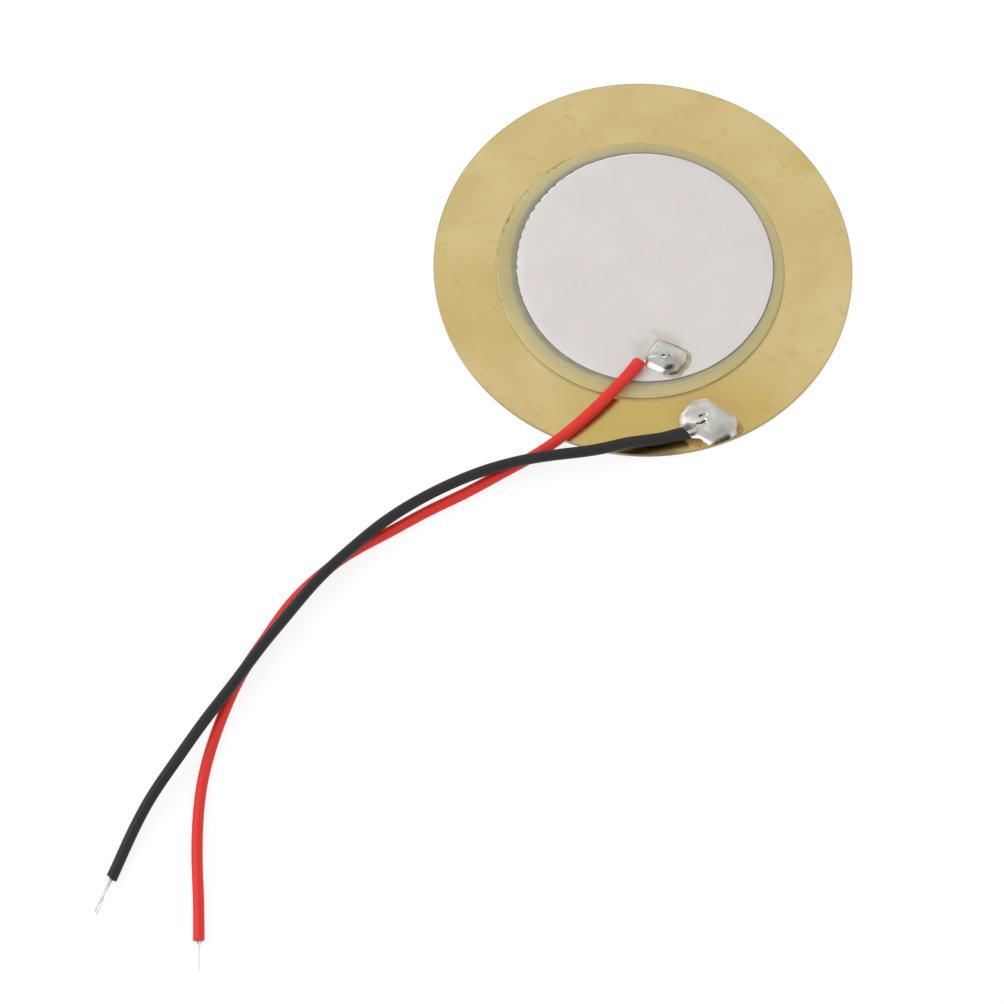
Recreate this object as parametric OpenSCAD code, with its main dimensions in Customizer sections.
// Piezoelectric disc element: a blanked brass plate with a silvered ceramic disc glued on it
// off centre, and two soldered stranded leads. Sizes are in millimetres.
// The origin is the middle of the plate's lower face. The element lies on z = 0, and its leads
// run off over that surface towards -X and -Y, the black one over the red one.

/* [Brass plate] */
// Diameter of the plate
plate_d = 35; // [32:0.5:50]
// Thickness of the plate
plate_t = 0.3; // [0.2:0.05:0.5]
// Radius that the blanking die rolls onto the upper edge
plate_roll = 0.05; // [0.02:0.01:0.1]

/* [Ceramic disc] */
// Diameter of the ceramic
ceramic_d = 24; // [18:0.5:26]
// Thickness of the bare ceramic
ceramic_t = 0.22; // [0.15:0.01:0.4]
// Where the hand-laid ceramic's centre lies on the plate
ceramic_at = [-0.25, -0.45]; // [-0.5:0.05:0.5]

/* [Glue] */
// Thickness of the glue under the ceramic
glue_t = 0.02; // [0.01:0.01:0.05]
// Width of the bead squeezed out around the ceramic
bead_w = 0.12; // [0.05:0.01:0.25]
// Height of that bead above the plate
bead_h = 0.08; // [0.06:0.01:0.12]

/* [Silver electrodes] */
// Thickness of each fired silver layer
silver_t = 0.02; // [0.01:0.01:0.05]
// Width of bare ceramic around the upper layer, so that solder can't bridge to the plate
front_margin = 1.3; // [0.8:0.1:2.5]
// Where the upper layer's print is centred on the ceramic
front_at = [0.4, 0.25]; // [-0.5:0.05:0.5]
// Width of bare ceramic around the lower layer
back_margin = 0.3; // [0.1:0.1:1]

/* [Solder joint on the silver] */
// Mean radius of the joint
front_joint_r = 1.6; // [1.3:0.1:2]
// Distance of its centre in from the silver's edge
front_joint_in = 1.9; // [1.7:0.1:4]
// Direction of the joint from the silver's centre, in degrees
front_joint_angle = -77; // [-85:1:-70]

/* [Solder joint on the plate] */
// Mean radius of the joint
back_joint_r = 2.25; // [1.6:0.05:2.6]
// Distance of its centre in from the plate's edge
back_joint_in = 1.85; // [1.6:0.05:2.5]
// Direction of the joint from the plate's centre, in degrees
back_joint_angle = -68.5; // [-75:0.5:-60]
// Bare surface kept between a joint and the edge or step beside it
joint_edge = 0.05; // [0.02:0.01:0.3]
// Solder over the strands at the crown of a joint
joint_cover = 0.1; // [0.05:0.05:0.4]

/* [Leads] */
// Outer diameter of the insulation
lead_d = 0.9; // [0.8:0.05:1.2]
// Diameter of the bundle of seven strands
core_d = 0.38; // [0.3:0.02:0.5]
// Bare strands between the solder and the red lead's insulation
red_gap = 0.55; // [0.15:0.05:1]
// Bare strands between the solder and the black lead's insulation
black_gap = 0.2; // [0.15:0.05:1]
// Stripped length at the far end of the red lead
red_strip = 2.4; // [1:0.1:8]
// Stripped length at the far end of the black lead
black_strip = 3.1; // [1:0.1:8]
// Height of the red lead over the silver where it is soldered
red_lift = 0.15; // [0.1:0.05:0.5]
// Height of the black lead over the plate where it is soldered
black_lift = 0.25; // [0.15:0.05:0.5]

/* [Hidden] */
disc_facets = 180;
core_facets = 24;
corner_steps = 4;

// Radii and levels that follow from the sizes
plate_r = plate_d / 2;
ceramic_r = ceramic_d / 2;
front_r = ceramic_r - front_margin;
lead_r = lead_d / 2;
core_r = core_d / 2;
ceramic_z = plate_t + glue_t + silver_t;
front_z = ceramic_z + ceramic_t;
stack_t = front_z + silver_t - plate_t;
front_centre = ceramic_at + front_at;

// The outline of a joint swells in lobes: [how many, share of the radius, direction in degrees]
front_lobes = [[1, 0.15, 180], [2, 0.1, 170], [4, 0.05, 15]];
back_lobes = [[1, 0.05, 180], [2, 0.15, 150], [3, 0.05, 60], [4, 0.05, 20]];
joint_sides = 32;
joint_angles = [for (i = [0 : joint_sides - 1]) i * 360 / joint_sides];
joint_rings = 7;
// How square a dome's side is: 1 is an ellipse, less is squarer
joint_round = 0.75;

// Where the strands enter a joint, their inner end from its centre, and the lead's first heading
front_entry = 186;
front_tail = [-0.4, -0.1];
red_heading = 230;
back_entry = 210;
back_tail = [-0.4, 0.45];
black_heading = 192;

// The way each lead runs, in plan from the end of its insulation at the joint
red_route = [[0, 0], [-1.5, -1.9], [-3.5, -4.2], [-6, -6.6], [-8.5, -8.6], [-11, -10.2], [-14, -12],
    [-17, -13.7], [-20, -15.6], [-23, -17.5], [-25.9, -20], [-28, -22.5], [-29.5, -25],
    [-31.2, -28], [-32.4, -31], [-33.3, -34], [-34, -37.5], [-34.2, -41], [-34.1, -44],
    [-33.8, -47.5], [-33.6, -50.7]];
black_route = [[0, 0], [-2, -0.5], [-4.5, -1.1], [-7, -1.9], [-10, -2.5], [-13, -3.1], [-16, -4],
    [-19, -5.3], [-22, -7.1], [-24.5, -9], [-27, -11.4], [-29.4, -14], [-31.6, -17],
    [-33.7, -20], [-35.6, -23], [-37.9, -26.5], [-40, -30], [-41.8, -33], [-43.2, -36],
    [-44.5, -39.5]];
lead_sides = 8;
// A lead clears an edge by the first length before it starts down, and is down by the second
ceramic_step = [1, 4];
plate_step = [3.5, 9];
// How far from its joint a lead has lost the height it was soldered at
lift_run = 8;
// The black lead rides at full height within the first number of diameters of the red one,
// and lies on the surface beyond the second
ride_near = 2.5;
ride_far = 7;
ride_gap = 0.05;

function heading(a) = [cos(a), sin(a)];
function unit(v) = v / norm(v);

// 0 at t = 0 and 1 at t = 1, level at both ends
function smooth(t) = let (u = min(1, max(0, t))) u * u * (3 - 2 * u);

// 1 up to the first distance, 0 from the second on
function ramp(d, steps) = 1 - smooth((d - steps[0]) / (steps[1] - steps[0]));

// Height of what a lead lies on: the ceramic's stack, then the plate, then the table
function deck(p) = plate_t * ramp(norm(p) - plate_r, plate_step)
    + stack_t * ramp(norm(p - ceramic_at) - ceramic_r, ceramic_step);

// Distance from a point to a stretch, and to a whole route
function to_stretch(p, a, b) =
    let (t = min(1, max(0, (p - a) * (b - a) / ((b - a) * (b - a))))) norm(a + t * (b - a) - p);
function to_route(p, route) =
    min([for (i = [0 : len(route) - 2]) to_stretch(p, route[i], route[i + 1])]);

// Way from c along direction a to a circle around the origin that c lies inside
function way_out(c, a, r) = let (s = c * heading(a)) sqrt(s * s - c * c + r * r) - s;

// Way from c along direction a to a circle around the origin that c lies outside
function way_in(c, a, r) =
    let (s = c * heading(a), q = s * s - c * c + r * r) q > 0 && s < 0 ? -s - sqrt(q) : 2 * plate_d;

// Outline radius of a lobed blob in direction a
function lobed(a, r, lobes) =
    r * (1 + [for (l = lobes) l[1] * cos(l[0] * (a - l[2]))] * [for (l = lobes) 1]);

front_joint_c = front_centre + (front_r - front_joint_in) * heading(front_joint_angle);
back_joint_c = (plate_r - back_joint_in) * heading(back_joint_angle);

// Solder wets as far as the edge of the metal under it, and no further
function front_outline(a) = min(lobed(a, front_joint_r, front_lobes),
    way_out(front_joint_c - front_centre, a, front_r - joint_edge));
function back_outline(a) = min(lobed(a, back_joint_r, back_lobes),
    way_out(back_joint_c, a, plate_r - plate_roll - joint_edge),
    way_in(back_joint_c - ceramic_at, a, ceramic_r + bead_w + joint_edge));

// Points of each lead: where it leaves the solder, then the end of the insulation, then its run
front_bend = front_joint_c + front_outline(front_entry) * heading(front_entry);
back_bend = back_joint_c + back_outline(back_entry) * heading(back_entry);
red_start = front_bend + red_gap * heading(red_heading);
black_start = back_bend + black_gap * heading(black_heading);
red_plan = [for (p = red_route) red_start + p];
black_plan = [for (p = black_route) black_start + p];

function lifted(p, start, lift) = lead_r + deck(p) + lift * ramp(norm(p - start), [0, lift_run]);
function ride(p) = (lead_d + ride_gap) * ramp(to_route(p, red_plan) / lead_d, [ride_near, ride_far]);
red_path = [for (p = red_plan) [p[0], p[1], lifted(p, red_start, red_lift)]];
black_path = [for (p = black_plan) [p[0], p[1], lifted(p, black_start, black_lift) + ride(p)]];
red_exit_z = red_path[0][2];
black_exit_z = black_path[0][2];

function levelled(v) = unit([v[0], v[1], 0]);

// Directions of a path at its points: the given one at the start, and level at both ends
function headings(path, first) = [for (i = [0 : len(path) - 1]) i == 0 ? concat(heading(first), 0)
    : i == len(path) - 1 ? levelled(path[i] - path[i - 1])
    : unit(unit(path[i + 1] - path[i]) + unit(path[i] - path[i - 1]))];

// The strands inside a joint, from their inner end to the bend where they leave the solder
function soldered(tail, bend, z) = [concat(tail, z), concat(bend, z)];
function soldered_ways(tail, bend, start) = let (inward = unit(bend - tail))
    [concat(inward, 0), concat(unit(inward + unit(start - bend)), 0)];

red_tail = front_joint_c + front_tail;
black_tail = back_joint_c + back_tail;
red_ways = headings(red_path, red_heading);
black_ways = headings(black_path, black_heading);
red_core = concat(soldered(red_tail, front_bend, red_exit_z), red_path);
red_core_ways = concat(soldered_ways(red_tail, front_bend, red_start), red_ways);
black_core = concat(soldered(black_tail, back_bend, black_exit_z), black_path);
black_core_ways = concat(soldered_ways(black_tail, back_bend, black_start), black_ways);

// The part of a core that lies in its joint and on to the insulation
function soldered_part(points) = [for (i = [0 : 2]) points[i]];

// One ring of points around a path's point, square to direction t
function ring(c, t, r) = let (s = unit(cross(t, [0, 0, 1])), u = cross(s, t))
    [for (k = [0 : lead_sides - 1]) let (a = (k + 0.5) * 360 / lead_sides)
        c + r * (cos(a) * s + sin(a) * u)];
function rings(path, ways, r) = [for (i = [0 : len(path) - 1]) each ring(path[i], ways[i], r)];

// Triangles of the wall between count rings, whose first point is number base
function wall(count, base) = [for (i = [0 : count - 2], k = [0 : lead_sides - 1])
    let (a = base + i * lead_sides, b = a + lead_sides, m = (k + 1) % lead_sides)
    each [[b + k, a + k, a + m], [b + k, a + m, b + m]]];
function reversed(faces) = [for (f = faces) [for (i = [len(f) - 1 : -1 : 0]) f[i]]];

// Triangles of the ring-shaped end between points from a on and points from b on
function annulus(a, b) = [for (k = [0 : lead_sides - 1]) let (m = (k + 1) % lead_sides)
    each [[a + k, b + k, b + m], [a + k, b + m, a + m]]];

// A rod along a path
module swept_rod(path, ways, r) {
    last = (len(path) - 1) * lead_sides;
    polyhedron(rings(path, ways, r),
        concat(wall(len(path), 0), reversed([[for (k = [0 : lead_sides - 1]) k]]),
        [[for (k = [0 : lead_sides - 1]) last + k]]), convexity = 10);
}

// A tube along a path: an outer wall, the bore's wall and two ring-shaped ends
module swept_tube(path, ways, r, bore_r) {
    inner = len(path) * lead_sides;
    last = inner - lead_sides;
    polyhedron(concat(rings(path, ways, r), rings(path, ways, bore_r)),
        concat(wall(len(path), 0), reversed(wall(len(path), inner)), annulus(0, inner),
        reversed(annulus(last, inner + last))), convexity = 10);
}

// A lead's stripped end: a level round rod straight on from the last point of its path
module tip(path, ways, strip) {
    v = ways[len(ways) - 1];
    translate(path[len(path) - 1])
        rotate([0, 90, atan2(v[1], v[0])])
            cylinder(h = strip, r = core_r, $fn = core_facets);
}

// A dome over the outline radii, from base level up by height
module dome(c, radii, base, height) {
    n = len(radii);
    turn = 360 / n;
    level = [for (j = [0 : joint_rings - 1]) let (a = 90 * j / joint_rings)
        [pow(cos(a), joint_round), pow(sin(a), joint_round)]];
    sides = [for (l = level, i = [0 : n - 1])
        concat(c + radii[i] * l[0] * heading(i * turn), base + height * l[1])];
    crown = n * joint_rings;
    polyhedron(concat(sides, [[c[0], c[1], base + height]]), concat(
        [for (j = [0 : joint_rings - 2], i = [0 : n - 1]) let (a = j * n, b = a + n, m = (i + 1) % n)
            each [[a + i, b + i, b + m], [a + i, b + m, a + m]]],
        [for (i = [0 : n - 1]) [crown - n + i, crown, crown - n + (i + 1) % n]],
        [[for (i = [0 : n - 1]) i]]), convexity = 4);
}

// The blanked plate, with its upper edge rolled by the die
module brass_plate() {
    color("burlywood")
        rotate_extrude($fn = disc_facets)
            polygon(concat([[0, 0], [plate_r, 0]],
                [for (i = [0 : corner_steps]) let (a = 90 * i / corner_steps)
                    [plate_r - plate_roll * (1 - cos(a)), plate_t - plate_roll * (1 - sin(a))]],
                [[0, plate_t]]));
}

// Glue film under the ceramic, stepped around the lower silver, with its squeezed-out bead
module glue_layer() {
    color("tan")
        translate([ceramic_at[0], ceramic_at[1], plate_t])
            rotate_extrude($fn = disc_facets)
                polygon([[0, 0], [ceramic_r + bead_w, 0], [ceramic_r, bead_h],
                    [ceramic_r, glue_t + silver_t], [ceramic_r - back_margin, glue_t + silver_t],
                    [ceramic_r - back_margin, glue_t], [0, glue_t]]);
}

module back_electrode() {
    color("silver")
        translate([ceramic_at[0], ceramic_at[1], plate_t + glue_t])
            cylinder(h = silver_t, r = ceramic_r - back_margin, $fn = disc_facets);
}

module ceramic_disc() {
    color("darkkhaki")
        translate([ceramic_at[0], ceramic_at[1], ceramic_z])
            cylinder(h = ceramic_t, r = ceramic_r, $fn = disc_facets);
}

module front_electrode() {
    color("gainsboro")
        translate([front_centre[0], front_centre[1], front_z])
            cylinder(h = silver_t, r = front_r, $fn = disc_facets);
}

module front_joint() {
    base = front_z + silver_t;
    color("lightgray")
        difference() {
            dome(front_joint_c, [for (a = joint_angles) front_outline(a)], base,
                red_exit_z + core_r + joint_cover - base);
            swept_rod(soldered_part(red_core), soldered_part(red_core_ways), core_r);
        }
}

module back_joint() {
    color("lightgray")
        difference() {
            dome(back_joint_c, [for (a = joint_angles) back_outline(a)], plate_t,
                black_exit_z + core_r + joint_cover - plate_t);
            swept_rod(soldered_part(black_core), soldered_part(black_core_ways), core_r);
        }
}

module red_conductor() {
    color("lightsteelblue")
        swept_rod(red_core, red_core_ways, core_r);
}

module red_tip() {
    color("silver")
        tip(red_path, red_ways, red_strip);
}

module red_insulation() {
    color("crimson")
        swept_tube(red_path, red_ways, lead_r, core_r);
}

module black_conductor() {
    color("lightsteelblue")
        swept_rod(black_core, black_core_ways, core_r);
}

module black_tip() {
    color("silver")
        tip(black_path, black_ways, black_strip);
}

module black_insulation() {
    color("dimgray")
        swept_tube(black_path, black_ways, lead_r, core_r);
}

brass_plate();
glue_layer();
back_electrode();
ceramic_disc();
front_electrode();
front_joint();
back_joint();
red_conductor();
red_tip();
red_insulation();
black_conductor();
black_tip();
black_insulation();
